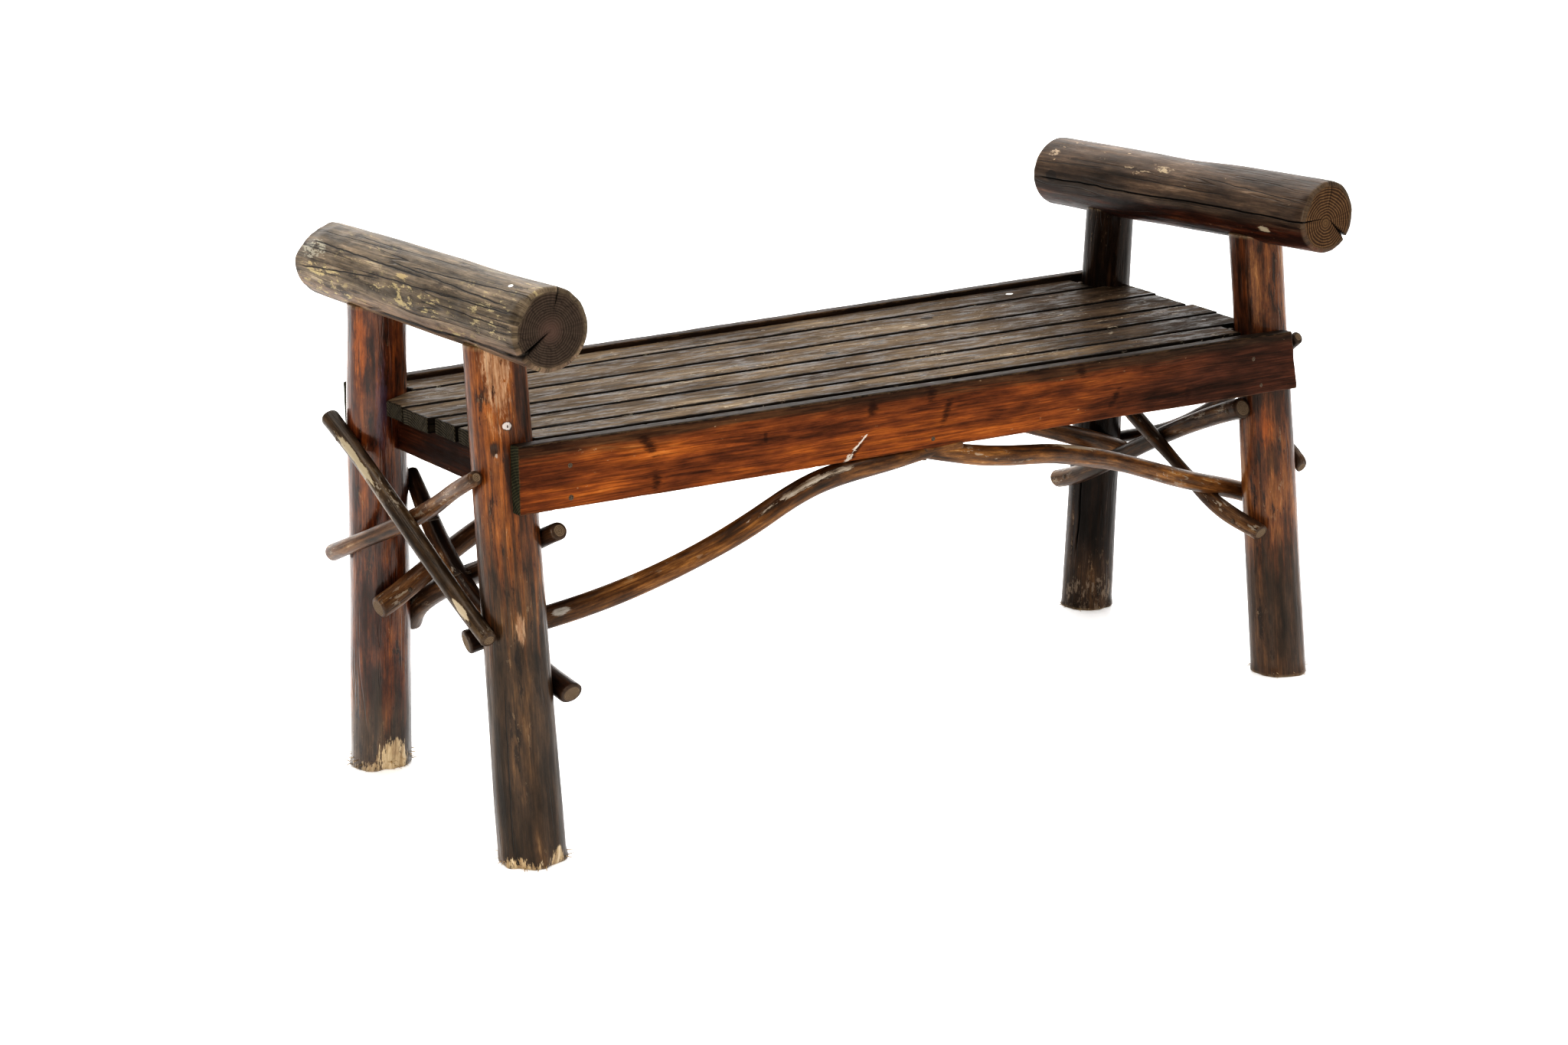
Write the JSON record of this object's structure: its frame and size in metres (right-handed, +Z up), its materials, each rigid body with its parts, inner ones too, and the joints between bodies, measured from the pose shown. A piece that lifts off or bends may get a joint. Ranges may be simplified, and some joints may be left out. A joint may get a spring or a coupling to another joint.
{
  "type": "rustic log bench",
  "caption": "Rustic bench of peeled logs: splayed legs carry cross-lying log arms, with a slatted seat between plain aprons and bent branches bracing the ends and arching below.",
  "frame": {"origin": "on the floor, under the middle of the bench", "axes": "+X runs along the bench to the sitter's left, +Y towards the back, +Z up"},
  "size_m": [1.1667, 0.511, 0.6314],
  "materials": {
    "leg_wood": "gloss varnish",
    "arm_wood": "weathered, worn varnish",
    "slat_wood": "weathered, semi-gloss varnish",
    "apron_wood": "satin varnish",
    "bearer_wood": "satin varnish",
    "branch_wood": "varnished bark and scars",
    "dowel_wood": "plain",
    "nail_steel": "dark, dull"
  },
  "bodies": {
    "root": {"apron_back": "apron_wood", "apron_front": "apron_wood", "apron_nails": "nail_steel", "arch_back_left": "branch_wood", "arch_back_right": "branch_wood", "arch_front_left": "branch_wood", "arch_front_right": "branch_wood", "arch_nails": "nail_steel", "arm_dowels": "dowel_wood", "arm_left": "arm_wood", "arm_right": "arm_wood", "bearer_left": "bearer_wood", "bearer_middle": "bearer_wood", "bearer_nails": "nail_steel", "bearer_right": "bearer_wood", "brace_left_inner_falling": "branch_wood", "brace_left_inner_rising": "branch_wood", "brace_left_outer_falling": "branch_wood", "brace_left_outer_rising": "branch_wood", "brace_nails": "nail_steel", "brace_right_inner_falling": "branch_wood", "brace_right_inner_rising": "branch_wood", "brace_right_outer_falling": "branch_wood", "brace_right_outer_rising": "branch_wood", "leg_back_left": "leg_wood", "leg_back_right": "leg_wood", "leg_front_left": "leg_wood", "leg_front_right": "leg_wood", "slat_back": "slat_wood", "slat_fifth": "slat_wood", "slat_fourth": "slat_wood", "slat_front": "slat_wood", "slat_nails": "nail_steel", "slat_second": "slat_wood", "slat_third": "slat_wood"}
  },
  "joints": []
}
